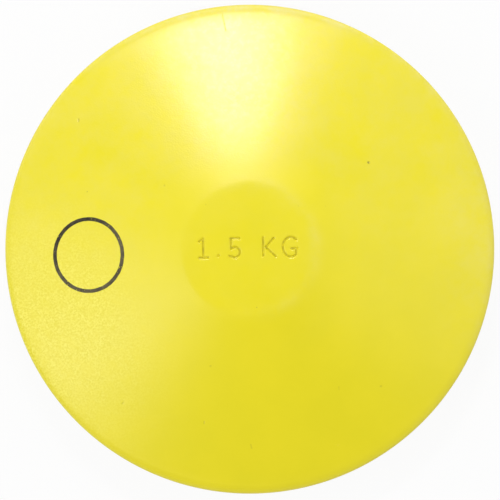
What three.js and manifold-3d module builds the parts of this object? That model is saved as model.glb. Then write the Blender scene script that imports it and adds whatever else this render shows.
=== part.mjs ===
// A moulded rubber throwing discus of the 1.5 kg class, lying on its lower flat with its marked face up.
// Lengths are millimetres and angles are radians. +Z is the spin axis, and the origin is the centre of the
// lower flat. The mark reads along +X.
import * as THREE from "three";
import { mergeVertices, toCreasedNormals } from "three/addons/utils/BufferGeometryUtils.js";
import Module from "manifold-3d";

const wasm = await Module();
wasm.setup();

// Outer form, shared by both rubber halves. The rim's thickness is gauged a set distance in from its edge, and
// its two corners are rounded as quarters of an ellipse.
const discusDiameter = 200;
const centreThickness = 39;
const flatDiameter = 53.5;
const flatEdgeRadius = 15;
const rimThickness = 12.5;
const rimGaugeDistance = 6;
const rimRoundingWidth = 6;
const rimRoundingHeight = 3;

// Steel weight ring, moulded in at mid height, with holes that the rubber keys into
const steelOuterDiameter = 150;
const steelInnerDiameter = 70;
const steelThickness = 8;
const steelEdgeChamfer = 0.6;
const keyHoleDiameter = 16;
const keyHoleCount = 8;
const seatGap = 0.3;
const cutOverrun = 1;

// Weight mark, sunk into the upper flat
const markHeight = 7.85;
const markStrokeWidth = 0.85;
const markDepth = 0.6;
const markOffsetX = -0.55;
const markOffsetY = 0.75;
const markTilt = THREE.MathUtils.degToRad(1);

// Oval line printed on the upper cone, as a film of ink. Its middle lies a distance in from the rim, on a
// bearing from +X, and its width runs along the slope.
const printRimDistance = 34.7;
const printBearing = THREE.MathUtils.degToRad(182.1);
const printWidth = 29.7;
const printHeight = 30.7;
const printLineWidth = 1.5;
const printTurn = THREE.MathUtils.degToRad(-3.4);
const inkThickness = 0.1;
const inkGap = 0.05;

// Numbers of steps in the round shapes
const bodySegments = 128;
const rimSteps = 8;
const flatEdgeSteps = 4;
const steelCurveSteps = 48;
const keySegments = 24;
const strokeCurveSteps = 18;
const strokeEndSteps = 6;
const printSegments = 72;
const creaseAngle = THREE.MathUtils.degToRad(30);

// Sizes that follow from the driving ones
const bodyRadius = discusDiameter / 2;
const halfThickness = centreThickness / 2;
const flatRadius = flatDiameter / 2;
const rimGaugeRadius = bodyRadius - rimGaugeDistance;
const coneSlope = Math.atan2(halfThickness - rimThickness / 2, rimGaugeRadius - flatRadius);
const coneHeight = (radius) => halfThickness - (radius - flatRadius) * Math.tan(coneSlope);
const rimCentreRadius = bodyRadius - rimRoundingWidth;
const rimStartAngle = Math.atan2(rimRoundingWidth * Math.tan(coneSlope), rimRoundingHeight);
const coneEndRadius = rimCentreRadius + rimRoundingWidth * Math.sin(rimStartAngle);
const rimCentreHeight = coneHeight(coneEndRadius) - rimRoundingHeight * Math.cos(rimStartAngle);
const flatEdgeTangent = flatEdgeRadius * Math.tan(coneSlope / 2);
const flatEdgeInnerRadius = flatRadius - flatEdgeTangent;
const flatEdgeOuterRadius = flatRadius + flatEdgeTangent * Math.cos(coneSlope);
const keyCircleRadius = (steelOuterDiameter + steelInnerDiameter) / 4;

// Strokes of the mark's characters in shares of the mark's height, from the left end of the baseline
const lineShares = (fromX, fromY, toX, toY) => [
  [fromX, fromY],
  [toX, toY],
];
const arcShares = (centreX, centreY, radiusX, radiusY, fromDegrees, toDegrees) =>
  Array.from({ length: strokeCurveSteps + 1 }, (_, step) => {
    const degrees = fromDegrees + ((toDegrees - fromDegrees) * step) / strokeCurveSteps;
    const angle = THREE.MathUtils.degToRad(degrees);
    return [centreX + radiusX * Math.cos(angle), centreY + radiusY * Math.sin(angle)];
  });
const glyphShares = {
  one: [
    lineShares(0.27, 0.02, 0.27, 0.97),
    lineShares(0.27, 0.97, 0.06, 0.83),
    lineShares(0.07, 0, 0.51, 0),
  ],
  point: [lineShares(0.04, 0.09, 0.08, 0.09), lineShares(0.06, 0.07, 0.06, 0.11)],
  five: [
    lineShares(0.07, 0.97, 0.53, 0.97),
    lineShares(0.09, 0.97, 0.1, 0.49),
    [...arcShares(0.29, 0.255, 0.25, 0.265, 140, -115), [0.01, 0.07]],
  ],
  letterK: [
    lineShares(0.03, 0.04, 0.03, 0.98),
    lineShares(0.57, 0.94, 0.15, 0.49),
    lineShares(0.21, 0.43, 0.66, 0.02),
  ],
  letterG: [
    arcShares(0.45, 0.485, 0.415, 0.505, 47, 308),
    lineShares(0.71, 0.09, 0.71, 0.4),
    lineShares(0.78, 0.4, 0.48, 0.4),
  ],
};

// Where each character of the mark starts along the baseline, and how high the baseline lies
const markLeftShares = { one: -2.585, point: -1.6, five: -0.985, letterK: 0.726, letterG: 1.725 };
const markBaselineShare = -0.5;

const rubberMaterial = new THREE.MeshStandardMaterial({ color: 0xf0e235, roughness: 0.5, metalness: 0 });
const steelMaterial = new THREE.MeshStandardMaterial({ color: 0x6f7275, roughness: 0.45, metalness: 1 });
const inkMaterial = new THREE.MeshStandardMaterial({ color: 0x2b292c, roughness: 0.5, metalness: 0 });

// Height of the outer face over the parting plane, at a distance from the spin axis
function faceHeight(radius) {
  if (radius <= flatEdgeInnerRadius) return halfThickness;
  if (radius < flatEdgeOuterRadius) {
    const across = radius - flatEdgeInnerRadius;
    return halfThickness - flatEdgeRadius + Math.sqrt(flatEdgeRadius ** 2 - across ** 2);
  }
  if (radius < coneEndRadius) return coneHeight(radius);
  const acrossShare = (Math.min(radius, bodyRadius) - rimCentreRadius) / rimRoundingWidth;
  return rimCentreHeight + rimRoundingHeight * Math.sqrt(1 - acrossShare ** 2);
}

// A closed geometry as a solid that can be joined and cut
function solidFrom(geometry) {
  const bare = geometry.index ? geometry.toNonIndexed() : geometry.clone();
  bare.deleteAttribute("normal");
  bare.deleteAttribute("uv");
  const merged = mergeVertices(bare);
  const vertProperties = merged.getAttribute("position").array;
  const triVerts = new Uint32Array(merged.index.array);
  return new wasm.Manifold(new wasm.Mesh({ numProp: 3, vertProperties, triVerts }));
}

function geometryFrom(solid) {
  const { vertProperties, triVerts, numProp } = solid.getMesh();
  const geometry = new THREE.BufferGeometry();
  geometry.setAttribute("position", new THREE.BufferAttribute(vertProperties, numProp));
  geometry.setIndex(new THREE.BufferAttribute(triVerts, 1));
  return toCreasedNormals(geometry, creaseAngle);
}

function joined(solids) {
  return solids.reduce((whole, solid) => whole.add(solid));
}

function namedMesh(name, geometry, material, height) {
  const mesh = new THREE.Mesh(geometry, material);
  mesh.name = name;
  mesh.position.z = height;
  return mesh;
}

// Outer profile of one half, from the axis out along the parting plane, up the rim and back over the face
function halfProfile() {
  const points = [new THREE.Vector2(), new THREE.Vector2(bodyRadius, 0)];
  for (let step = 0; step <= rimSteps; step++) {
    const angle = ((Math.PI / 2 - rimStartAngle) * step) / rimSteps;
    const radius = rimCentreRadius + rimRoundingWidth * Math.cos(angle);
    points.push(new THREE.Vector2(radius, rimCentreHeight + rimRoundingHeight * Math.sin(angle)));
  }
  for (let step = flatEdgeSteps; step >= 0; step--) {
    const angle = (coneSlope * step) / flatEdgeSteps;
    const radius = flatEdgeInnerRadius + flatEdgeRadius * Math.sin(angle);
    points.push(new THREE.Vector2(radius, halfThickness - flatEdgeRadius * (1 - Math.cos(angle))));
  }
  points.push(new THREE.Vector2(0, halfThickness));
  return points;
}

// The outline of the steel ring, grown by a gap on its outer and inner edge
function ringShape(gap) {
  const ring = new THREE.Shape();
  ring.absarc(0, 0, steelOuterDiameter / 2 + gap, 0, 2 * Math.PI);
  const bore = new THREE.Path();
  bore.absarc(0, 0, steelInnerDiameter / 2 - gap, 0, 2 * Math.PI);
  ring.holes.push(bore);
  return ring;
}

// A ring that lies between two heights, cut by a circle of pins that pass both its faces
function cutKeyHoles(ringGeometry, holeRadius, bottom, top) {
  const length = top - bottom + 2 * cutOverrun;
  const pins = Array.from({ length: keyHoleCount }, (_, index) => {
    const pin = new THREE.CylinderGeometry(holeRadius, holeRadius, length, keySegments);
    pin.rotateX(Math.PI / 2);
    pin.translate(keyCircleRadius, 0, (bottom + top) / 2);
    pin.rotateZ((2 * Math.PI * index) / keyHoleCount);
    return solidFrom(pin);
  });
  return solidFrom(ringGeometry).subtract(joined(pins));
}

// One half of the rubber, standing on its parting plane. Half of the ring's seat is sunk into it, and half of
// each key is left standing in the seat.
function rubberHalf() {
  const body = new THREE.LatheGeometry(halfProfile(), bodySegments);
  body.rotateX(Math.PI / 2);
  const seatDepth = steelThickness / 2;
  const seat = new THREE.ExtrudeGeometry(ringShape(seatGap), {
    depth: seatDepth + cutOverrun,
    bevelEnabled: false,
    curveSegments: steelCurveSteps,
  });
  seat.translate(0, 0, -cutOverrun);
  return solidFrom(body).subtract(
    cutKeyHoles(seat, keyHoleDiameter / 2 - seatGap, -cutOverrun, seatDepth),
  );
}

// The outline of one stroke of the mark: its centre line widened to both sides, with round ends
function strokeShape(points) {
  const side = (index, sign) => {
    const before = points[Math.max(index - 1, 0)];
    const after = points[Math.min(index + 1, points.length - 1)];
    const along = new THREE.Vector2().subVectors(after, before).normalize();
    const across = new THREE.Vector2(-along.y, along.x).multiplyScalar((sign * markStrokeWidth) / 2);
    return points[index].clone().add(across);
  };
  const roundEnd = (centre, from) =>
    Array.from({ length: strokeEndSteps - 1 }, (_, step) =>
      from.clone().rotateAround(centre, (-Math.PI * (step + 1)) / strokeEndSteps),
    );
  const last = points.length - 1;
  const left = points.map((_, index) => side(index, 1));
  const right = points.map((_, index) => side(index, -1)).reverse();
  return new THREE.Shape([
    ...left,
    ...roundEnd(points[last], left[last]),
    ...right,
    ...roundEnd(points[0], right[last]),
  ]);
}

// The weight mark as a solid that cuts into the upper flat of a half on its parting plane
function markCutter() {
  const strokes = Object.entries(glyphShares).flatMap(([glyph, glyphStrokes]) =>
    glyphStrokes.map((stroke) => {
      const points = stroke.map(([x, y]) =>
        new THREE.Vector2(markLeftShares[glyph] + x, markBaselineShare + y).multiplyScalar(markHeight),
      );
      const cut = new THREE.ExtrudeGeometry(strokeShape(points), {
        depth: markDepth + cutOverrun,
        bevelEnabled: false,
      });
      cut.rotateZ(markTilt);
      cut.translate(markOffsetX, markOffsetY, halfThickness - markDepth);
      return solidFrom(cut);
    }),
  );
  return joined(strokes);
}

function upperRubberHalf() {
  const solid = rubberHalf().subtract(markCutter());
  return namedMesh("upper_rubber_half", geometryFrom(solid), rubberMaterial, halfThickness);
}

// The lower half is the same moulding without the mark, turned over
function lowerRubberHalf() {
  const mesh = namedMesh("lower_rubber_half", geometryFrom(rubberHalf()), rubberMaterial, halfThickness);
  mesh.rotation.x = Math.PI;
  return mesh;
}

function steelWeightRing() {
  const plate = new THREE.ExtrudeGeometry(ringShape(0), {
    depth: steelThickness - 2 * steelEdgeChamfer,
    bevelThickness: steelEdgeChamfer,
    bevelSize: steelEdgeChamfer,
    bevelOffset: -steelEdgeChamfer,
    bevelSegments: 1,
    curveSegments: steelCurveSteps,
  });
  plate.translate(0, 0, steelEdgeChamfer);
  const solid = cutKeyHoles(plate, keyHoleDiameter / 2, 0, steelThickness);
  const height = halfThickness - steelThickness / 2;
  return namedMesh("steel_weight_ring", geometryFrom(solid), steelMaterial, height);
}

// The printed oval as a closed band of ink that follows the cone
function printedOval() {
  const outlinePoint = (angle, inset) => {
    const along = (printWidth / 2 - inset) * Math.cos(coneSlope) * Math.cos(angle);
    const across = (printHeight / 2 - inset) * Math.sin(angle);
    const middle = new THREE.Vector2(bodyRadius - printRimDistance, 0);
    middle.rotateAround(new THREE.Vector2(), printBearing);
    return new THREE.Vector2(along, across).rotateAround(new THREE.Vector2(), printTurn).add(middle);
  };
  const corners = [
    [0, inkGap],
    [0, inkGap + inkThickness],
    [printLineWidth, inkGap + inkThickness],
    [printLineWidth, inkGap],
  ];
  const positions = [];
  const indices = [];
  for (let segment = 0; segment < printSegments; segment++) {
    const angle = (2 * Math.PI * segment) / printSegments;
    const here = segment * corners.length;
    const ahead = ((segment + 1) % printSegments) * corners.length;
    corners.forEach(([inset, lift], corner) => {
      const point = outlinePoint(angle, inset);
      positions.push(point.x, point.y, faceHeight(point.length()) + lift);
      const beside = (corner + 1) % corners.length;
      indices.push(here + corner, ahead + corner, here + beside);
      indices.push(here + beside, ahead + corner, ahead + beside);
    });
  }
  const geometry = new THREE.BufferGeometry();
  geometry.setAttribute("position", new THREE.Float32BufferAttribute(positions, 3));
  geometry.setIndex(indices);
  return namedMesh("printed_oval", toCreasedNormals(geometry, creaseAngle), inkMaterial, halfThickness);
}

const discus = new THREE.Group();
discus.add(lowerRubberHalf(), steelWeightRing(), upperRubberHalf(), printedOval());

export default discus;
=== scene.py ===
"""The looks of a moulded rubber throwing discus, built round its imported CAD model.

The discus lies on its lower flat with its marked face up. +Z is its spin axis, and the mark reads along +X.
Lengths are in metres. A named bearing is in degrees, anticlockwise from +X as seen from above. A plan
point is the X and Y of a point on a face.
"""

import math
from typing import NamedTuple

import bmesh
import bpy
import numpy as np
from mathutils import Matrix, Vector, noise
from mathutils.geometry import delaunay_2d_cdt

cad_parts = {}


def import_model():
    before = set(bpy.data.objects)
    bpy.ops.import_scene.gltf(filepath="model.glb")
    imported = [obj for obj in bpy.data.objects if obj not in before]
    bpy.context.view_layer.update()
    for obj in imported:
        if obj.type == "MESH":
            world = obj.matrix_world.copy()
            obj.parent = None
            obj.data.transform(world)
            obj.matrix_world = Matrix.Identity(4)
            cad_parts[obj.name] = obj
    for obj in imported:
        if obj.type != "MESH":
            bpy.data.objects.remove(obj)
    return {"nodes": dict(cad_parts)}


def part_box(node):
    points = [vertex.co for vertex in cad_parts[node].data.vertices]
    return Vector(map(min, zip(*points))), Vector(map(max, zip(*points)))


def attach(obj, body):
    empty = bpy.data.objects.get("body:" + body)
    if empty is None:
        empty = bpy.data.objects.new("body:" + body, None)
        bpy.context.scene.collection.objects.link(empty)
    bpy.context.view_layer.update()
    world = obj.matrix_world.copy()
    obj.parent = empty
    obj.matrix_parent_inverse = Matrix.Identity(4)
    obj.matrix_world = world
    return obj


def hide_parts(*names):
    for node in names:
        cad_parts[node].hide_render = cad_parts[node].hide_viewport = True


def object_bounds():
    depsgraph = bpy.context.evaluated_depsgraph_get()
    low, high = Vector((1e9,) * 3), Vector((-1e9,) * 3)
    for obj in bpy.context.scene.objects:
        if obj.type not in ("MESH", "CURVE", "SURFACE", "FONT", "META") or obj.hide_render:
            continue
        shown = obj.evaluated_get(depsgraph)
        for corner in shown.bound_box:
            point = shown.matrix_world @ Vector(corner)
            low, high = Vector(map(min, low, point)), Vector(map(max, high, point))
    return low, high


MM = 0.001


class Sector(NamedTuple):
    """A sector of a face: its middle bearing, half its angle, and the radii where it starts and is full.

    The bearing and the angle are in degrees.
    """

    bearing: float
    half_angle: float
    start: float
    full: float


class Texture(NamedTuple):
    """Soft noise: about how wide its spots are, its finer layers, and each layer's share of the last.

    Where a range is given, the noise from low to high is spread from to_low to to_high.
    """

    size: float
    layers: float
    gain: float = 0.5
    low: float = 0.0
    high: float = 1.0
    to_low: float = 0.0
    to_high: float = 1.0


class Lamp(NamedTuple):
    """A rectangular lamp: how far to the side it stands, on which bearing and how high above the discus."""

    name: str
    reach: float
    bearing: float
    height: float
    width: float
    length: float
    power: float


# Form of a rubber face. The diameter, the thickness, the mark and the seat come from the frame.
FLAT_RADIUS = 26.75 * MM
FLAT_EDGE_RADIUS = 15 * MM
RIM_THICKNESS = 12.5 * MM
RIM_GAUGE_DISTANCE = 6 * MM
RIM_ROUNDING_WIDTH = 6 * MM
RIM_ROUNDING_HEIGHT = 3 * MM
EASING_REACH = 2.5 * MM
EASING_SAMPLES = 8000

# Flash at the parting plane, which tapers to its tip by this power
FLASH_PROUD = 0.12 * MM
FLASH_WIDTH = 0.3 * MM
FLASH_TAPER_POWER = 1.5

# Spacing of the skin's points. Inside a share of the flat, where the mark lies, its rings hold fewer. The
# slope at a point is taken from a short span on each side of it.
SEGMENTS = 360
ARC_SAMPLES = 240
FLAT_SPACING = 2.2 * MM
FLAT_INNER_SHARE = 0.9
FLAT_EDGE_SPACING = 0.8 * MM
CONE_SPACING = 1.8 * MM
RIM_SPACING = 0.35 * MM
SLOPE_SPAN = RIM_SPACING / 4
FLASH_SPACING = 0.08 * MM
SHARP_ANGLE = math.radians(50)

# Tolerances. The triangles of the skin are made in millimetres, and so is their tolerance.
LEAST_LENGTH = 0.001 * MM
WELD_DISTANCE = 0.001 * MM
HEIGHT_TOLERANCE = 0.05 * MM
LEVEL_NORMAL = 0.9
TRIANGLE_TOLERANCE = 1e-6

# Mark, sunk into the upper flat: gentle lips, then rounded edges and walls, and it is unevenly darker inside
MARK_LIP_WIDTH = 0.46 * MM
MARK_LIP_DEPTH = 0.11 * MM
MARK_EDGE_ROUNDING = 0.16 * MM
MARK_WALL_WIDTH = 0.3 * MM
MARK_SPACING = 0.1 * MM
MARK_REACH = 0.55 * MM
# Darkening inside the sunk mark
MARK_DARKENING = 0.36
MARK_DARKENING_PATCH = 1.2 * MM
MARK_DARKENING_UNEVENNESS = 0.9

# Small pits and nicks in the upper face, in millimetres: place or line, width, depth and share of stain
PITS = (
    ((48, 35), 1.6, 0.3, 0.92),
    (((-69.6, 52.8), (-69.6, 51.9)), 1.1, 0.1, 0.36),
    (((-51.9, -62.7), (-51.4, -62.2)), 1, 0.07, 0.24),
    ((53.2, -55.6), 1.3, 0.1, 0.35),
    (((-18.5, -69.8), (-18.5, -70.7)), 0.8, 0.07, 0.28),
    ((-34.5, 25.6), 1.3, 0.08, 0.25),
    ((-15.8, -47.1), 1.3, 0.07, 0.25),
    ((2.8, -23.4), 0.95, 0.08, 0.38),
    ((19.5, 17.4), 0.9, 0.03, 0.15),
    ((30.4, 17.3), 0.9, 0.03, 0.12),
    ((-17.7, 17.9), 0.9, 0.02, 0.2),
    (((0.4, -79.2), (0.8, -80.8)), 1, 0.05, 0.21),
    (((36.1, -55.6), (36.1, -56.8)), 0.9, 0.04, 0.15),
    ((-65.9, 23.3), 0.75, 0.1, 0.6),
    ((35.6, -79.8), 0.9, 0.14, 0),
)
PIT_SPACING_SHARE = 0.11
DENT_REACH_SHARE = 0.75
DENT_UNEVENNESS = 0.35

# Hairline scratch near the rim, with its line in millimetres
SCRATCH_LINE = ((-11.4, 96.8), (-10.8, 93.6), (-9.8, 88.7))
SCRATCH_WIDTH = 0.5 * MM
SCRATCH_DEPTH = 0.05 * MM
SCRATCH_SPACING = 0.1 * MM

# Whitish haze and painted highlights, as shares of the rubber's colour: over the cone, partly haze and
# partly painted highlight that widens the top highlight and fades out towards the bottom; painted highlight
# in a ring at the flat's worn edge on one side; thin haze on the flat; painted highlight on the cone towards
# the right lamp;
# and painted highlight and painted reflection on part of the rim's rounding
# Over the cone: partly whitish haze, partly painted highlight that widens the top highlight; it fades out
# towards the bottom
HAZE_AND_HIGHLIGHT_SHARE = 0.038
HAZE_AND_HIGHLIGHT_BEARING = 100
HAZE_AND_HIGHLIGHT_FADE = 60 * MM
# Painted highlight: a pale ring at the flat's edge, strongest towards the upper right
EDGE_HIGHLIGHT_SHARE = 0.042
EDGE_HIGHLIGHT_BEARING = 30
EDGE_RING_RADIUS = 26.8 * MM
EDGE_HIGHLIGHT_WIDTH = 2.6 * MM
FLAT_HAZE_SHARE = 0.01
FLAT_HAZE_END = 29 * MM
FLAT_HAZE_FADE = 5 * MM
# Painted highlight on the cone towards the right lamp, out to the rim
RIGHT_HIGHLIGHT_SHARE = 0.038
RIGHT_HIGHLIGHT_SECTOR = Sector(bearing=0, half_angle=38, start=70 * MM, full=95 * MM)
# Painted highlight and painted reflection on the rim's rounding, strongest towards the top
RIM_HIGHLIGHT_START = 95.5 * MM
RIM_HIGHLIGHT_FULL = 98.5 * MM
RIM_HIGHLIGHT_END = 100.2 * MM
RIM_HIGHLIGHTS = (
    (0.05, Sector(bearing=60, half_angle=150, start=RIM_HIGHLIGHT_START, full=RIM_HIGHLIGHT_FULL)),
    (0.1, Sector(bearing=92, half_angle=50, start=RIM_HIGHLIGHT_START, full=RIM_HIGHLIGHT_FULL)),
)

# Wear, which makes the rubber rougher: round the flat's edge on one side, and at the rim. The cone's haze
# and painted highlight set in over the same reach.
WEAR_REACH = 22 * MM
WEAR_BEARING = 92
RIM_WEAR_START = 92 * MM
RIM_WEAR_FULL = 98 * MM
RIM_WEAR_SHARE = 0.7
WEAR_ROUGHNESS = 0.1

# Sectors of the cone where the grain stands up as grit, with painted glints on its tips and painted shade in
# its hollows, and where whitish flecks of painted highlight mottle the top highlight
# The grit is a real bump, and carries painted glints on the grain's tips and painted shade in its hollows
GRIT_GLINT_SHARE = 0.95
GRIT_AND_GLINT_SECTOR = Sector(bearing=203, half_angle=47, start=40 * MM, full=73 * MM)
# Painted highlight: whitish flecks that mottle the top highlight in its sector
HIGHLIGHT_FLECK_SHARE = 0.07
HIGHLIGHT_FLECK_SECTOR = Sector(bearing=93, half_angle=38, start=28 * MM, full=60 * MM)

# Printed oval. Its middle and its outer size come from the frame. The heights are over the cone, and the
# ink's top is crowned by a power of the place across the line. Its two edges stray by waves of their own.
PRINT_TURN = math.radians(-3.4)
PRINT_LINE_WIDTH = 1.5 * MM
PRINT_UNDERSIDE_HEIGHT = 0.015 * MM
PRINT_EDGE_HEIGHT = 0.03 * MM
PRINT_CROWN_HEIGHT = 0.1 * MM
PRINT_CROWN_POWER = 6
PRINT_EDGE_WAVE = 0.08 * MM
PRINT_WAVES = 9
PRINT_INNER_WAVE_SHIFT = 5
PRINT_SEGMENTS = 640
PRINT_ROWS = 9

# How far the printed line is rubbed off, from 0 to 1, at some bearings from its middle
PRINT_RUBBED = (
    (0, 0.75),
    (30, 0.75),
    (60, 0.45),
    (100, 0.05),
    (180, 0.2),
    (240, 0.8),
    (300, 0.8),
    (330, 0.4),
    (360, 0.75),
)

# Rubber, with its colours as linear light
RUBBER_YELLOW = (0.85, 0.74, 0.002, 1)
RUBBER_PALE = (0.88, 0.76, 0.003, 1)
# Painted glint on the grit's tips, and painted shade in its hollows
RUBBER_GLINT_TIP = (0.97, 0.88, 0.09, 1)
RUBBER_SHADED_HOLLOW = (0.81, 0.7, 0.001, 1)
# Colour that darkens the inside of the sunk mark, and the stains in the pits
RUBBER_DARKENED = (0.3, 0.24, 0.01, 1)
HAZE_AND_HIGHLIGHT_WHITE = (0.86, 0.84, 0.8, 1)
RUBBER_IOR = 1.6
RUBBER_CLOUDS = Texture(size=22 * MM, layers=3, low=0.35, high=0.65)
RUBBER_ROUGHNESS = Texture(size=3 * MM, layers=4, gain=0.7, low=0.3, high=0.7, to_low=0.275, to_high=0.29)
# Patches that break up the haze and the painted highlights
HAZE_AND_HIGHLIGHT_PATCHES = Texture(size=16 * MM, layers=5, gain=0.75, low=0.35, high=0.65, to_low=0.2, to_high=1.8)
# Flecks of painted highlight in the top highlight's sector
HIGHLIGHT_FLECK_NOISE = Texture(size=2.5 * MM, layers=4, gain=0.7, low=0.48, high=0.62)
# Grain of the grit: its tips take painted glints and its hollows painted shade
GRIT_GRAIN = Texture(size=0.8 * MM, layers=2, gain=0.6, low=0.38, high=0.66)
GRIT_PATCHES = Texture(size=4.5 * MM, layers=3, gain=0.6, low=0.35, high=0.65, to_low=0.55, to_high=1.15)
GRIT_HEIGHT = 0.02 * MM
ORANGE_PEEL = Texture(size=4 * MM, layers=2)
ORANGE_PEEL_HEIGHT = 0.03 * MM
FINE_GRAIN = Texture(size=0.6 * MM, layers=1)
FINE_GRAIN_HEIGHT = 0.03 * MM

# Ink. Where it is rubbed, it is greyer by one share, and more flecks are worn through by the other.
INK_BLACK = (0.01, 0.008, 0.003, 1)
INK_GREY = (0.15, 0.125, 0.06, 1)
INK_ROUGHNESS = 0.5
INK_IOR = 1.4
INK_STREAKS = Texture(size=2.5 * MM, layers=4, low=0.35, high=0.65, to_high=0.4)
INK_RUBBED_GREY_SHARE = 0.6
INK_FLECKS = Texture(size=0.7 * MM, layers=2, low=0.7, high=0.75)
INK_RUBBED_FLECK_SHARE = 0.06
INK_GRAIN = Texture(size=0.5 * MM, layers=2)
INK_GRAIN_HEIGHT = 0.01 * MM

# Steel of the weight ring
STEEL_DARK = (0.13, 0.135, 0.14, 1)
STEEL_LIGHT = (0.24, 0.25, 0.26, 1)
STEEL_CLOUDS = Texture(size=6 * MM, layers=4)
STEEL_ROUGHNESS = Texture(size=0.8 * MM, layers=3, low=0.3, high=0.7, to_low=0.35, to_high=0.5)
STEEL_GRAIN = Texture(size=0.3 * MM, layers=2)
STEEL_GRAIN_HEIGHT = 0.01 * MM

# Camera, looking straight down
CAMERA_DISTANCE = 1000 * MM
CAMERA_VIEW_WIDTH = 204.8 * MM
CAMERA_OFFSET = (0.082 * MM, -0.338 * MM)

# Lamps, which all face the middle of the upper flat
LAMPS = (
    Lamp(
        name="key_lamp",
        reach=377 * MM,
        bearing=96.5,
        height=556 * MM,
        width=180 * MM,
        length=20 * MM,
        power=1.42,
    ),
    Lamp(
        name="side_lamp",
        reach=550 * MM,
        bearing=203,
        height=612 * MM,
        width=550 * MM,
        length=550 * MM,
        power=1.57,
    ),
    Lamp(
        name="glint_lamp",
        reach=407 * MM,
        bearing=212,
        height=612 * MM,
        width=15 * MM,
        length=15 * MM,
        power=0.11,
    ),
    Lamp(
        name="right_lamp",
        reach=335 * MM,
        bearing=-3,
        height=320 * MM,
        width=360 * MM,
        length=360 * MM,
        power=0.25,
    ),
    Lamp(
        name="back_lamp",
        reach=900 * MM,
        bearing=90,
        height=300 * MM,
        width=900 * MM,
        length=300 * MM,
        power=1.2,
    ),
)

# World: its light falls from the horizon's strength to the plain one over a range of the direction's Z, and
# what is mirrored falls from full white
FULL_WHITE = 1.0
WORLD_WHITE = (1, 1, 1, 1)
WORLD_STRENGTH = 0.44
WORLD_HORIZON = 0.9
WORLD_MIRRORED = 0.25
WORLD_FADE = (0.0, 0.6)

# Floor: the shares of its glow in what the camera sees and in what is mirrored
FLOOR_WHITE = (0.8, 0.8, 0.8, 1)
FLOOR_SIZE = 6000 * MM
FLOOR_DROP = 0.02 * MM
FLOOR_GLOW_SHARE = 0.93
FLOOR_MIRRORED_GLOW_SHARE = 0.3


def smooth_step(value):
    """0 below 0, 1 above 1, and a smooth rise between them."""
    clipped = np.clip(value, 0, 1)
    return clipped * clipped * (3 - 2 * clipped)


def spaced(start, end, spacing):
    """Even distances from start up to, but without, end."""
    count = max(1, math.ceil((end - start) / spacing))
    return np.linspace(start, end, count, endpoint=False)


def lengths_along(first, second):
    """Distance along a line of points from its first point to each of them."""
    steps = np.hypot(np.diff(first), np.diff(second))
    return np.concatenate(([0], np.cumsum(steps)))


def eased(radius, height):
    """A section whose turns set in and fade out gently: its direction is averaged along a short way."""
    along = lengths_along(radius, height)
    fine = np.linspace(0, along[-1], EASING_SAMPLES)
    width = round(EASING_REACH / fine[1])
    kernel = np.hanning(width + 2)[1:-1]
    eased_lines = []
    for line in (radius, height):
        direction = np.gradient(np.interp(fine, along, line), fine)
        padded = np.pad(direction, (width // 2, width - 1 - width // 2), mode="edge")
        mean = np.convolve(padded, kernel / kernel.sum(), mode="valid")
        walked = np.concatenate(([0], np.cumsum((mean[1:] + mean[:-1]) / 2))) * fine[1]
        walked *= (line[-1] - line[0]) / walked[-1]
        eased_lines.append(np.interp(along, fine, line[0] + walked))
    return eased_lines


def plain_section(body_radius, half_thickness):
    """Radii and heights of a face's section with plain arcs, from the flat over the cone to the rim's land.

    The flat and the cone are single steps, and each of the other three has ARC_SAMPLES points.
    """
    drop = half_thickness - RIM_THICKNESS / 2
    run = body_radius - RIM_GAUGE_DISTANCE - FLAT_RADIUS
    slope = math.atan2(drop, run)
    flat_end = FLAT_RADIUS - FLAT_EDGE_RADIUS * math.tan(slope / 2)
    flat_edge = np.linspace(0, slope, ARC_SAMPLES)
    rim_centre = body_radius - FLASH_PROUD - RIM_ROUNDING_WIDTH
    rim_turn = math.atan2(RIM_ROUNDING_WIDTH * drop, RIM_ROUNDING_HEIGHT * run)
    rim = np.linspace(rim_turn, math.pi / 2, ARC_SAMPLES)
    rim_start = rim_centre + RIM_ROUNDING_WIDTH * math.sin(rim_turn)
    rim_start_height = half_thickness - (rim_start - FLAT_RADIUS) * drop / run
    land_height = rim_start_height - RIM_ROUNDING_HEIGHT * math.cos(rim_turn)
    radii = (
        [0],
        flat_end + FLAT_EDGE_RADIUS * np.sin(flat_edge),
        rim_centre + RIM_ROUNDING_WIDTH * np.sin(rim),
        np.full(ARC_SAMPLES, rim_centre + RIM_ROUNDING_WIDTH),
    )
    heights = (
        [half_thickness],
        half_thickness - FLAT_EDGE_RADIUS * (1 - np.cos(flat_edge)),
        land_height + RIM_ROUNDING_HEIGHT * np.cos(rim),
        np.linspace(land_height, 0, ARC_SAMPLES),
    )
    return np.concatenate(radii), np.concatenate(heights)


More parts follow.
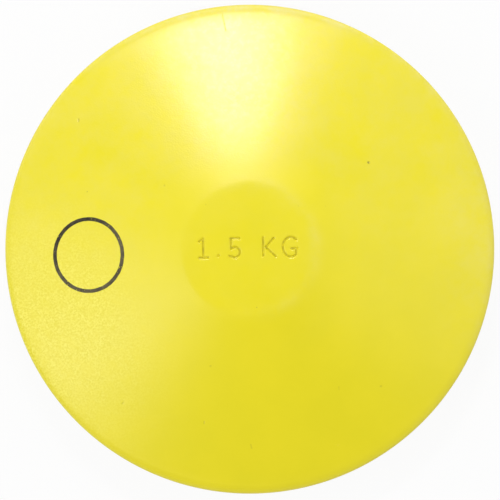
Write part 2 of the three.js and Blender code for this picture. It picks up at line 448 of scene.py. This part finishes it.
class FaceProfile:
    """Section of one face from the spin axis to the parting line. Heights are over the parting plane."""

    def __init__(self, body_radius, half_thickness):
        radius, self.height = eased(*plain_section(body_radius, half_thickness))
        to_tip = np.clip(1 - self.height / FLASH_WIDTH, 0, 1)
        self.radius = radius + FLASH_PROUD * to_tip**FLASH_TAPER_POWER
        self.along = lengths_along(self.radius, self.height)
        self.flat_end = self.along[1]
        self.flat_edge_end = self.along[ARC_SAMPLES]
        self.rim_start = self.along[ARC_SAMPLES + 1]
        self.flash_start = np.interp(-FLASH_WIDTH, -self.height, self.along)
        self.end = self.along[-1]

    def rings(self):
        """Distances along the section at which the skin's rings of points lie."""
        return np.concatenate(
            (
                spaced(0, self.flat_end, FLAT_SPACING),
                spaced(self.flat_end, self.flat_edge_end, FLAT_EDGE_SPACING),
                spaced(self.flat_edge_end, self.rim_start, CONE_SPACING),
                spaced(self.rim_start, self.flash_start, RIM_SPACING),
                spaced(self.flash_start, self.end, FLASH_SPACING),
                [self.end],
            )
        )

    def unrolled(self, plan):
        """Plan points moved out from the axis to their distance along the section."""
        radius = np.maximum(np.hypot(*plan.T), LEAST_LENGTH)
        along = np.interp(radius, self.radius, self.along)
        return plan * (along / radius)[:, None]

    def placed(self, unrolled):
        """Points over the parting plane, and the face's outward normals there, from unrolled points."""
        along = np.hypot(*unrolled.T)
        bearing = np.arctan2(unrolled[:, 1], unrolled[:, 0])
        radius = np.interp(along, self.along, self.radius)
        height = np.interp(along, self.along, self.height)
        ahead = np.minimum(along + SLOPE_SPAN, self.end)
        behind = np.maximum(along - SLOPE_SPAN, 0)
        out = np.interp(ahead, self.along, self.radius) - np.interp(behind, self.along, self.radius)
        down = np.interp(behind, self.along, self.height) - np.interp(ahead, self.along, self.height)
        tilt = np.arctan2(down, out)
        points = np.column_stack((radius * np.cos(bearing), radius * np.sin(bearing), height))
        normals = np.column_stack(
            (np.sin(tilt) * np.cos(bearing), np.sin(tilt) * np.sin(bearing), np.cos(tilt))
        )
        return points, normals

    def height_at(self, radius):
        """Height of the face over the parting plane at a distance from the axis, inside the rim's edge."""
        return np.interp(radius, self.radius, self.height)


def distance_to_segments(points, starts, ends):
    """Distance from each plan point to the nearest of some segments."""
    along = ends - starts
    length_squared = np.maximum((along**2).sum(1), LEAST_LENGTH**2)
    nearest = np.full(len(points), np.inf)
    for start, vector, squared in zip(starts, along, length_squared):
        share = np.clip(((points - start) @ vector) / squared, 0, 1)
        away = points - start - share[:, None] * vector
        nearest = np.minimum(nearest, np.hypot(*away.T))
    return nearest


def inside_segments(points, starts, ends):
    """Which plan points lie inside the closed outlines that some segments make."""
    inside = np.zeros(len(points), bool)
    for (x0, y0), (x1, y1) in zip(starts, ends):
        if y0 == y1:
            continue
        crosses = (points[:, 1] >= min(y0, y1)) & (points[:, 1] < max(y0, y1))
        meets = x0 + (points[:, 1] - y0) * (x1 - x0) / (y1 - y0)
        inside ^= crosses & (points[:, 0] < meets)
    return inside


def square_lattice(low, high, spacing):
    """Plan points on an even lattice over a box."""
    x = np.arange(low[0], high[0] + spacing, spacing)
    y = np.arange(low[1], high[1] + spacing, spacing)
    return np.array(np.meshgrid(x, y)).reshape(2, -1).T


def uneven_at(points, chosen, size):
    """Soft noise about 0 at the chosen plan points, with spots about size across, and 0 at the others."""
    uneven = np.zeros(len(points))
    uneven[chosen] = [noise.noise(Vector((x, y, 0)) / size) for x, y in points[chosen]]
    return uneven


class Sinking:
    """Something sunk into the upper face along segments, with a finer lattice of points where it reaches."""

    def __init__(self, starts, ends, reach, spacing):
        self.starts, self.ends, self.reach, self.spacing = starts, ends, reach, spacing

    def within(self, points):
        """How far inside its border each plan point lies. It is negative outside."""
        return -distance_to_segments(points, self.starts, self.ends)

    def covers(self, points):
        return self.within(points) > -self.reach

    def lattice(self):
        low = np.minimum(self.starts.min(0), self.ends.min(0)) - self.reach
        high = np.maximum(self.starts.max(0), self.ends.max(0)) + self.reach
        points = square_lattice(low, high, self.spacing)
        return points[self.covers(points)]


def in_mark_floor(face, top):
    """Whether a face of the upper half is part of the floor of its sunk mark."""
    middle = face.calc_center_median()
    sunk = middle.z < top - HEIGHT_TOLERANCE
    return sunk and face.normal.z > LEVEL_NORMAL and middle.xy.length < FLAT_RADIUS * FLAT_INNER_SHARE


class SunkMark(Sinking):
    """The characters sunk into the upper flat, with rounded edges. Their outline and depth are the CAD's."""

    def __init__(self, node):
        cad = welded_copy(node)
        top = max(vertex.co.z for vertex in cad.verts)
        floor = {face for face in cad.faces if in_mark_floor(face, top)}
        self.depth = top - min(face.verts[0].co.z for face in floor)
        border = [edge for edge in cad.edges if len(floor.intersection(edge.link_faces)) == 1]
        starts = np.array([edge.verts[0].co.xy for edge in border])
        ends = np.array([edge.verts[1].co.xy for edge in border])
        cad.free()
        super().__init__(starts, ends, MARK_REACH, MARK_SPACING)

    def within(self, points):
        distance = distance_to_segments(points, self.starts, self.ends)
        return np.where(inside_segments(points, self.starts, self.ends), distance, -distance)

    def sunk(self, points):
        """How deep each plan point is sunk, and how much it is darkened."""
        within = self.within(points)
        lip = smooth_step(within / MARK_LIP_WIDTH + 1)
        wall = smooth_step((within + MARK_EDGE_ROUNDING) / (MARK_EDGE_ROUNDING + MARK_WALL_WIDTH))
        uneven = uneven_at(points, wall > 0, MARK_DARKENING_PATCH)
        depth = MARK_LIP_DEPTH * lip + (self.depth - MARK_LIP_DEPTH) * wall
        # The mark is unevenly darker inside its walls
        return depth, MARK_DARKENING * wall * (1 + MARK_DARKENING_UNEVENNESS * uneven)


class Dent(Sinking):
    """A dent along a line of plan points. A line of one point makes a round pit."""

    def __init__(self, line, width, depth, darkening, spacing):
        line = np.array(line, float).reshape(-1, 2)
        starts = line[: max(1, len(line) - 1)]
        ends = line[min(1, len(line) - 1) :]
        self.half_width, self.depth, self.darkening = width / 2, depth, darkening
        super().__init__(starts, ends, width * DENT_REACH_SHARE, spacing)

    def sunk(self, points):
        """How deep each plan point is sunk, and how much it is stained."""
        distance = -self.within(points)
        uneven = uneven_at(points, distance < self.reach, self.half_width)
        share = smooth_step(1 - distance / self.half_width * (1 + DENT_UNEVENNESS * uneven))
        return self.depth * share, self.darkening * share


def face_sinkings(upper_node):
    """Everything that is sunk into the upper face."""
    sinkings = [SunkMark(upper_node)]
    for line, width, depth, darkening in PITS:
        spacing = width * MM * PIT_SPACING_SHARE
        sinkings.append(Dent(np.array(line) * MM, width * MM, depth * MM, darkening, spacing))
    scratch = np.array(SCRATCH_LINE) * MM
    sinkings.append(Dent(scratch, SCRATCH_WIDTH, SCRATCH_DEPTH, 0, SCRATCH_SPACING))
    return sinkings


def facing(plan, bearing):
    """How far each plan point lies towards a bearing, from 0 opposite to it to 1 along it."""
    return (1 + np.cos(np.arctan2(plan[:, 1], plan[:, 0]) - math.radians(bearing))) / 2


def in_sector(plan, sector):
    """How far each plan point is inside a sector: 0 at its sides and start, and 1 where it is full."""
    bearing = np.arctan2(plan[:, 1], plan[:, 0])
    turn = abs((bearing - math.radians(sector.bearing) + math.pi) % (2 * math.pi) - math.pi)
    out = (np.hypot(*plan.T) - sector.start) / (sector.full - sector.start)
    return smooth_step(1 - turn / math.radians(sector.half_angle)) * smooth_step(out)


def cone_haze_and_highlight_at(plan):
    """The share of haze and painted highlight over the cone at each plan point: strongest towards the top
    highlight's side, fading out towards the bottom.
    """
    bearing = math.radians(HAZE_AND_HIGHLIGHT_BEARING)
    towards = plan @ (math.cos(bearing), math.sin(bearing))
    fade = smooth_step((towards / HAZE_AND_HIGHLIGHT_FADE + 1) / 2)
    return HAZE_AND_HIGHLIGHT_SHARE * fade * smooth_step((np.hypot(*plan.T) - EDGE_RING_RADIUS) / WEAR_REACH)


def rim_highlight_at(plan):
    """The share of painted highlight and painted reflection on the rim's rounding at each plan point."""
    to_end = (RIM_HIGHLIGHT_END - np.hypot(*plan.T)) / (RIM_HIGHLIGHT_END - RIM_HIGHLIGHT_FULL)
    haze_and_highlight = sum(share * in_sector(plan, sector) for share, sector in RIM_HIGHLIGHTS)
    return haze_and_highlight * smooth_step(to_end)


def haze_and_highlight_at(plan):
    """The share of whitish haze and painted highlight in the rubber's colour at each plan point, before
    patches break it up.
    """
    radius = np.hypot(*plan.T)
    # Painted highlight: a pale ring at the flat's edge on one side
    ring = EDGE_HIGHLIGHT_SHARE * np.exp(-(((radius - EDGE_RING_RADIUS) / EDGE_HIGHLIGHT_WIDTH) ** 2))
    ring *= facing(plan, EDGE_HIGHLIGHT_BEARING)
    flat = FLAT_HAZE_SHARE * smooth_step((FLAT_HAZE_END - radius) / FLAT_HAZE_FADE)
    # Painted highlight on the cone towards the right lamp
    right_highlight = RIGHT_HIGHLIGHT_SHARE * in_sector(plan, RIGHT_HIGHLIGHT_SECTOR)
    return flat + ring + cone_haze_and_highlight_at(plan) + right_highlight + rim_highlight_at(plan)


def wear_at(plan):
    """How worn the rubber is round the flat's edge and at the rim, from 0 to 1, at each plan point."""
    radius = np.hypot(*plan.T)
    rim = smooth_step((radius - RIM_WEAR_START) / (RIM_WEAR_FULL - RIM_WEAR_START))
    ring = smooth_step(1 - abs(radius - EDGE_RING_RADIUS) / WEAR_REACH)
    return ring * facing(plan, WEAR_BEARING) + RIM_WEAR_SHARE * rim


def welded_copy(node):
    """A node's mesh as a bmesh whose shared corners are joined."""
    mesh = bmesh.new()
    mesh.from_mesh(node.data)
    bmesh.ops.remove_doubles(mesh, verts=mesh.verts, dist=WELD_DISTANCE)
    mesh.normal_update()
    return mesh


def skin_lattice(profile, sinkings):
    """Unrolled points of a face: rings, and finer points where something is sunk."""
    rings = [np.zeros((1, 2))]
    for along in profile.rings()[1:]:
        few = math.ceil(2 * math.pi * along / FLAT_SPACING)
        count = SEGMENTS if along > FLAT_RADIUS * FLAT_INNER_SHARE else few
        bearing = np.linspace(0, 2 * math.pi, count, endpoint=False)
        rings.append(np.column_stack((along * np.cos(bearing), along * np.sin(bearing))))
    points = np.concatenate(rings)
    fine = []
    for sinking in sinkings:
        plan = profile.placed(points)[0][:, :2]
        points = points[~sinking.covers(plan)]
        fine.append(profile.unrolled(sinking.lattice()))
    return np.concatenate([points, *fine])


def skin(profile, sinkings):
    """Points and triangles of one face over the parting plane, and how much each point is darkened."""
    lattice = skin_lattice(profile, sinkings)
    flat_points = [Vector(point) for point in lattice / MM]
    made = delaunay_2d_cdt(flat_points, [], [], 0, TRIANGLE_TOLERANCE)
    unrolled = np.array([tuple(point) for point in made[0]]) * MM
    points, normals = profile.placed(unrolled)
    plan = points[:, :2].copy()
    darkening = np.zeros(len(points))
    for sinking in sinkings:
        depth, sinking_darkening = sinking.sunk(plan)
        points -= normals * depth[:, None]
        darkening = np.maximum(darkening, sinking_darkening)
    return points, made[2], darkening


def shades_at(plan, darkening):
    """What the rubber's material reads at each plan point of the skin."""
    return {
        "darkening": darkening,
        # Whitish haze, with painted highlights at the flat's edge, on the cone and on the rim
        "haze_and_highlight": haze_and_highlight_at(plan),
        "wear": wear_at(plan),
        # Grit, with painted glints on its tips and painted shade in its hollows
        "grit_and_glints": in_sector(plan, GRIT_AND_GLINT_SECTOR),
        # Painted highlight flecks in the top highlight's sector
        "highlight_flecks": in_sector(plan, HIGHLIGHT_FLECK_SECTOR) * HIGHLIGHT_FLECK_SHARE,
    }


def seat_faces(node, body_radius):
    """The CAD half's inner faces: the seat of the weight, its keys and the parting plane within the seat."""
    weight_low, weight_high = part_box("steel_weight_ring")
    seat_radius = weight_high.x + (body_radius - weight_high.x) / 2
    low, high = weight_low.z - HEIGHT_TOLERANCE, weight_high.z + HEIGHT_TOLERANCE
    cad = welded_copy(node)
    outside = [
        vertex for vertex in cad.verts if vertex.co.xy.length > seat_radius or not low < vertex.co.z < high
    ]
    bmesh.ops.delete(cad, geom=outside, context="VERTS")
    points = [tuple(vertex.co) for vertex in cad.verts]
    cad.verts.index_update()
    faces = [[vertex.index for vertex in face.verts] for face in cad.faces]
    cad.free()
    return points, faces


def close_and_smooth(mesh):
    """Fill a mesh's open border, if it has one, turn its faces out and shade it smooth."""
    solid = bmesh.new()
    solid.from_mesh(mesh)
    border = [edge for edge in solid.edges if edge.is_boundary]
    if border:
        bmesh.ops.triangle_fill(solid, use_beauty=True, edges=border)
    bmesh.ops.recalc_face_normals(solid, faces=solid.faces)
    solid.to_mesh(mesh)
    solid.free()
    mesh.shade_smooth()


def mesh_object(name, mesh):
    made = bpy.data.objects.new(name, mesh)
    bpy.context.scene.collection.objects.link(made)
    return made


def rubber_half(name, node, profile, sinkings, parting_height, turned):
    """One half of the rubber as a fine closed mesh: its outer skin, and the CAD's seat inside."""
    points, faces, darkening = skin(profile, sinkings)
    if turned:
        points = points * (1, -1, -1)
    shades = shades_at(points[:, :2], darkening)
    points = points + (0, 0, parting_height)
    inner_points, inner_faces = seat_faces(node, profile.radius.max())
    offset = len(points)
    faces = [*faces, *([index + offset for index in face] for face in inner_faces)]
    mesh = bpy.data.meshes.new(name)
    mesh.from_pydata([*map(tuple, points), *inner_points], [], faces)
    for shade, values in shades.items():
        attribute = mesh.attributes.new(shade, "FLOAT", "POINT")
        attribute.data.foreach_set("value", np.concatenate((values, np.zeros(len(inner_points)))))
    close_and_smooth(mesh)
    mesh.set_sharp_from_angle(angle=SHARP_ANGLE)
    return mesh_object(name, mesh)


def oval_half_axes(low, high):
    """Half axes of the printed oval seen from above, from the box of its turned CAD node."""
    across, up = ((high.x - low.x) / 2) ** 2, ((high.y - low.y) / 2) ** 2
    cos_squared, sin_squared = math.cos(PRINT_TURN) ** 2, math.sin(PRINT_TURN) ** 2
    spread = cos_squared - sin_squared
    along_x = math.sqrt((across * cos_squared - up * sin_squared) / spread)
    along_y = math.sqrt((up * cos_squared - across * sin_squared) / spread)
    return along_x, along_y


def oval_place(half_axes, angle, inset):
    """Place on the turned oval at an angle, some way in from its outer line, seen from its middle."""
    x = (half_axes[0] - inset) * math.cos(angle)
    y = (half_axes[1] - inset) * math.sin(angle)
    return Vector(
        (
            x * math.cos(PRINT_TURN) - y * math.sin(PRINT_TURN),
            x * math.sin(PRINT_TURN) + y * math.cos(PRINT_TURN),
        )
    )


def edge_wave(angle, shift):
    """How far an edge of the printed line strays at an angle. Each edge has a shift of its own."""
    outward = Vector((math.cos(angle), math.sin(angle), 0))
    return PRINT_EDGE_WAVE * noise.noise(outward * PRINT_WAVES + Vector((0, 0, shift)))


def ink_section():
    """Points round the ink's section: their share of the way across the line, and their height."""
    across = np.linspace(0, 1, PRINT_ROWS)
    crown = 1 - (2 * across - 1) ** PRINT_CROWN_POWER
    heights = PRINT_EDGE_HEIGHT + (PRINT_CROWN_HEIGHT - PRINT_EDGE_HEIGHT) * crown
    return [*zip(across, heights), *((share, PRINT_UNDERSIDE_HEIGHT) for share in across[::-1])]


def tube_faces(rings, ring_size):
    """Faces of a tube that closes on itself, whose points lie in rings of equal size."""
    faces = []
    for ring in range(rings):
        here, ahead = ring * ring_size, (ring + 1) % rings * ring_size
        for index in range(ring_size):
            beside = (index + 1) % ring_size
            faces.append((here + index, ahead + index, ahead + beside, here + beside))
    return faces


def printed_oval(profile, parting_height):
    """The oval line of ink as a thin closed film on the cone, with rounded and slightly wavy edges."""
    low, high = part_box("printed_oval")
    middle = (low + high) / 2
    half_axes = oval_half_axes(low, high)
    section = ink_section()
    points, rubbed = [], []
    for segment in range(PRINT_SEGMENTS):
        angle = 2 * math.pi * segment / PRINT_SEGMENTS
        rubbed += [np.interp(math.degrees(angle), *zip(*PRINT_RUBBED))] * len(section)
        outer_wave = edge_wave(angle, 0)
        inner_wave = edge_wave(angle, PRINT_INNER_WAVE_SHIFT)
        for share, height in section:
            inset = outer_wave * (1 - share) + (PRINT_LINE_WIDTH + inner_wave) * share
            place = middle.xy + oval_place(half_axes, angle, inset)
            face_height = parting_height + profile.height_at(place.length)
            points.append((place.x, place.y, face_height + height))
    mesh = bpy.data.meshes.new("printed_line")
    mesh.from_pydata(points, [], tube_faces(PRINT_SEGMENTS, len(section)))
    mesh.attributes.new("rubbed", "FLOAT", "POINT").data.foreach_set("value", rubbed)
    close_and_smooth(mesh)
    return mesh_object("printed_line", mesh)


class Material:
    """A material's nodes, made one after another."""

    def __init__(self, name):
        self.material = bpy.data.materials.new(name)
        self.material.use_nodes = True
        self.tree = self.material.node_tree
        self.tree.nodes.clear()
        self.output = self.add("ShaderNodeOutputMaterial")

    def add(self, kind, inputs=None, **settings):
        node = self.tree.nodes.new(kind)
        for key, value in settings.items():
            setattr(node, key, value)
        for key, value in (inputs or {}).items():
            if isinstance(value, bpy.types.NodeSocket):
                self.tree.links.new(value, node.inputs[key])
            else:
                node.inputs[key].default_value = value
        return node

    def noise(self, texture):
        """The texture's noise from 0 to 1, without its range."""
        inputs = {
            "Vector": self.add("ShaderNodeTexCoord").outputs["Object"],
            "Scale": 1 / texture.size,
            "Detail": texture.layers,
            "Roughness": texture.gain,
        }
        return self.add("ShaderNodeTexNoise", inputs).outputs["Fac"]

    def spread(self, texture):
        """The texture's noise, spread over its range."""
        ends = texture.low, texture.high, texture.to_low, texture.to_high
        return self.ranged(self.noise(texture), *ends)

    def ranged(self, value, low, high, to_low=0.0, to_high=1.0):
        inputs = {"Value": value, "From Min": low, "From Max": high, "To Min": to_low, "To Max": to_high}
        return self.add("ShaderNodeMapRange", inputs).outputs["Result"]

    def sum(self, first, second):
        return self.add("ShaderNodeMath", {0: first, 1: second}, operation="ADD").outputs[0]

    def product(self, first, second):
        return self.add("ShaderNodeMath", {0: first, 1: second}, operation="MULTIPLY").outputs[0]

    def attribute(self, name):
        return self.add("ShaderNodeAttribute", attribute_name=name).outputs["Fac"]

    def blended(self, share, first, second):
        inputs = {0: share, 2: first, 3: second}
        return self.add("ShaderNodeMix", inputs, data_type="FLOAT").outputs[0]

    def by_ray(self, lighting, mirrored, seen):
        """One value for rays that light a surface, one for mirrored or bent rays and one for the camera."""
        path = self.add("ShaderNodeLightPath").outputs
        inputs = {0: path["Is Glossy Ray"], 1: path["Is Transmission Ray"]}
        either = self.add("ShaderNodeMath", inputs, operation="MAXIMUM").outputs[0]
        value = self.blended(either, lighting, mirrored)
        return self.blended(path["Is Camera Ray"], value, seen)

    def mixed(self, share, first, second):
        inputs = {0: share, 6: first, 7: second}
        return self.add("ShaderNodeMix", inputs, data_type="RGBA").outputs[2]

    def bumped(self, height, distance, normal=None):
        inputs = {"Height": height, "Distance": distance, "Strength": 1.0}
        if normal is not None:
            inputs["Normal"] = normal
        return self.add("ShaderNodeBump", inputs).outputs["Normal"]

    def finish(self, shader):
        self.tree.links.new(shader, self.output.inputs["Surface"])
        return self.material

    def finish_principled(self, inputs):
        return self.finish(self.add("ShaderNodeBsdfPrincipled", inputs).outputs["BSDF"])


def rubber_material():
    """Satin moulded rubber: uneven yellow with haze and painted highlights, painted highlight flecks, grit
    with painted glints and painted shade, darkening in the sunk mark and stains in the pits, orange peel and
    fine grain.
    """
    made = Material("moulded_rubber")
    colour = made.mixed(made.spread(RUBBER_CLOUDS), RUBBER_YELLOW, RUBBER_PALE)
    # Whitish haze and painted highlights: at the flat's edge, over the cone, towards the right lamp and on
    # the rim
    haze_and_highlight = made.product(made.attribute("haze_and_highlight"), made.spread(HAZE_AND_HIGHLIGHT_PATCHES))
    colour = made.mixed(haze_and_highlight, colour, HAZE_AND_HIGHLIGHT_WHITE)
    # Painted highlight flecks that mottle the top highlight
    highlight_flecks = made.product(made.attribute("highlight_flecks"), made.spread(HIGHLIGHT_FLECK_NOISE))
    colour = made.mixed(highlight_flecks, colour, HAZE_AND_HIGHLIGHT_WHITE)
    # Grit: a real bump, with painted glints on the grain's tips and painted shade in its hollows
    grain = made.spread(GRIT_GRAIN)
    grit_and_glints = made.product(made.attribute("grit_and_glints"), made.spread(GRIT_PATCHES))
    glint_and_shade_colour = made.mixed(grain, RUBBER_SHADED_HOLLOW, RUBBER_GLINT_TIP)
    colour = made.mixed(made.product(grit_and_glints, GRIT_GLINT_SHARE), colour, glint_and_shade_colour)
    # Darker inside the sunk mark, and stains in the pits
    colour = made.mixed(made.attribute("darkening"), colour, RUBBER_DARKENED)
    wear = made.product(made.attribute("wear"), WEAR_ROUGHNESS)
    roughness = made.sum(made.spread(RUBBER_ROUGHNESS), wear)
    normal = made.bumped(made.noise(ORANGE_PEEL), ORANGE_PEEL_HEIGHT)
    normal = made.bumped(made.noise(FINE_GRAIN), FINE_GRAIN_HEIGHT, normal)
    normal = made.bumped(made.product(grain, grit_and_glints), GRIT_HEIGHT, normal)
    return made.finish_principled(
        {"Base Color": colour, "Roughness": roughness, "IOR": RUBBER_IOR, "Normal": normal}
    )


def ink_material():
    """Worn printing ink: nearly black, greyer where it is rubbed, with flecks worn through to the rubber."""
    made = Material("printing_ink")
    rubbed = made.attribute("rubbed")
    grey = made.sum(made.spread(INK_STREAKS), made.product(rubbed, INK_RUBBED_GREY_SHARE))
    colour = made.mixed(grey, INK_BLACK, INK_GREY)
    fleck_noise = made.sum(made.noise(INK_FLECKS), made.product(rubbed, INK_RUBBED_FLECK_SHARE))
    fleck = made.ranged(fleck_noise, INK_FLECKS.low, INK_FLECKS.high)
    colour = made.mixed(fleck, colour, RUBBER_YELLOW)
    normal = made.bumped(made.noise(INK_GRAIN), INK_GRAIN_HEIGHT)
    return made.finish_principled(
        {"Base Color": colour, "Roughness": INK_ROUGHNESS, "IOR": INK_IOR, "Normal": normal}
    )


def steel_material():
    """Dull steel with an uneven surface."""
    made = Material("brushed_steel")
    colour = made.mixed(made.noise(STEEL_CLOUDS), STEEL_DARK, STEEL_LIGHT)
    roughness = made.spread(STEEL_ROUGHNESS)
    normal = made.bumped(made.noise(STEEL_GRAIN), STEEL_GRAIN_HEIGHT)
    return made.finish_principled(
        {"Base Color": colour, "Metallic": 1.0, "Roughness": roughness, "Normal": normal}
    )


def floor_material():
    """Matt pale floor that looks white, keeps a faint shadow and is clear from below."""
    made = Material("floor")
    matt = made.add("ShaderNodeBsdfDiffuse", {"Color": FLOOR_WHITE}).outputs[0]
    glow = made.add("ShaderNodeEmission", {"Strength": FULL_WHITE}).outputs[0]
    share = made.by_ray(0.0, FLOOR_MIRRORED_GLOW_SHARE, FLOOR_GLOW_SHARE)
    front = made.add("ShaderNodeMixShader", {0: share, 1: matt, 2: glow}).outputs[0]
    clear = made.add("ShaderNodeBsdfTransparent").outputs[0]
    back = made.add("ShaderNodeNewGeometry").outputs["Backfacing"]
    return made.finish(made.add("ShaderNodeMixShader", {0: back, 1: front, 2: clear}).outputs[0])


def make_floor():
    bpy.ops.mesh.primitive_plane_add(size=FLOOR_SIZE, location=(0, 0, -FLOOR_DROP))
    floor = bpy.context.object
    floor.name = "floor"
    floor.data.materials.append(floor_material())


class World(Material):
    """The world's nodes."""

    def __init__(self):
        world = bpy.data.worlds.new("studio")
        bpy.context.scene.world = world
        world.use_nodes = True
        self.tree = world.node_tree
        self.tree.nodes.clear()
        self.output = self.add("ShaderNodeOutputWorld")


def make_world():
    """Even light from all sides. The camera sees white, and what is mirrored is white low down."""
    made = World()
    direction = made.add("ShaderNodeTexCoord").outputs["Generated"]
    rise = made.add("ShaderNodeSeparateXYZ", {0: direction}).outputs["Z"]
    lighting = made.ranged(rise, *WORLD_FADE, WORLD_HORIZON, WORLD_STRENGTH)
    mirrored = made.ranged(rise, *WORLD_FADE, FULL_WHITE, WORLD_MIRRORED)
    inputs = {"Color": WORLD_WHITE, "Strength": made.by_ray(lighting, mirrored, FULL_WHITE)}
    light = made.add("ShaderNodeBackground", inputs)
    made.tree.links.new(light.outputs[0], made.output.inputs["Surface"])


def add_lamp(lamp, target):
    """A lamp that faces the target point."""
    data = bpy.data.lights.new(lamp.name, "AREA")
    data.shape = "RECTANGLE"
    data.size, data.size_y = lamp.width, lamp.length
    data.energy = lamp.power
    made = bpy.data.objects.new(lamp.name, data)
    bpy.context.scene.collection.objects.link(made)
    bearing = math.radians(lamp.bearing)
    aside = Vector((math.cos(bearing), math.sin(bearing), 0)) * lamp.reach
    made.location = target + aside + Vector((0, 0, lamp.height))
    made.rotation_mode = "QUATERNION"
    made.rotation_quaternion = (target - made.location).to_track_quat("-Z", "Y")
    made.visible_camera = False


def add_camera(parting_height):
    data = bpy.data.cameras.new("camera")
    data.lens = data.sensor_width * CAMERA_DISTANCE / CAMERA_VIEW_WIDTH
    camera = bpy.data.objects.new("camera", data)
    bpy.context.scene.collection.objects.link(camera)
    camera.location = (*CAMERA_OFFSET, parting_height + CAMERA_DISTANCE)
    bpy.context.scene.camera = camera


def set_finish(piece, material):
    piece.data.materials.clear()
    piece.data.materials.append(material)


def main():
    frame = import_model()
    cad_low, cad_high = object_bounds()
    nodes = frame["nodes"]
    parting_height = (cad_low.z + cad_high.z) / 2
    profile = FaceProfile(cad_high.x, cad_high.z - parting_height)
    add_camera(parting_height)

    rubber = rubber_material()
    upper_node, lower_node = nodes["upper_rubber_half"], nodes["lower_rubber_half"]
    sinkings = face_sinkings(upper_node)
    upper = rubber_half("upper_rubber", upper_node, profile, sinkings, parting_height, turned=False)
    lower = rubber_half("lower_rubber", lower_node, profile, [], parting_height, turned=True)
    for piece, node_name in ((upper, "upper_rubber_half"), (lower, "lower_rubber_half")):
        set_finish(piece, rubber)
        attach(piece, "root")
        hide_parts(node_name)

    line = printed_oval(profile, parting_height)
    set_finish(line, ink_material())
    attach(line, "root")
    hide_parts("printed_oval")

    nodes["steel_weight_ring"].material_slots[0].material = steel_material()

    make_floor()
    make_world()
    top = Vector((0, 0, cad_high.z))
    for lamp in LAMPS:
        add_lamp(lamp, top)
    bpy.context.scene.view_settings.view_transform = "Standard"


main()
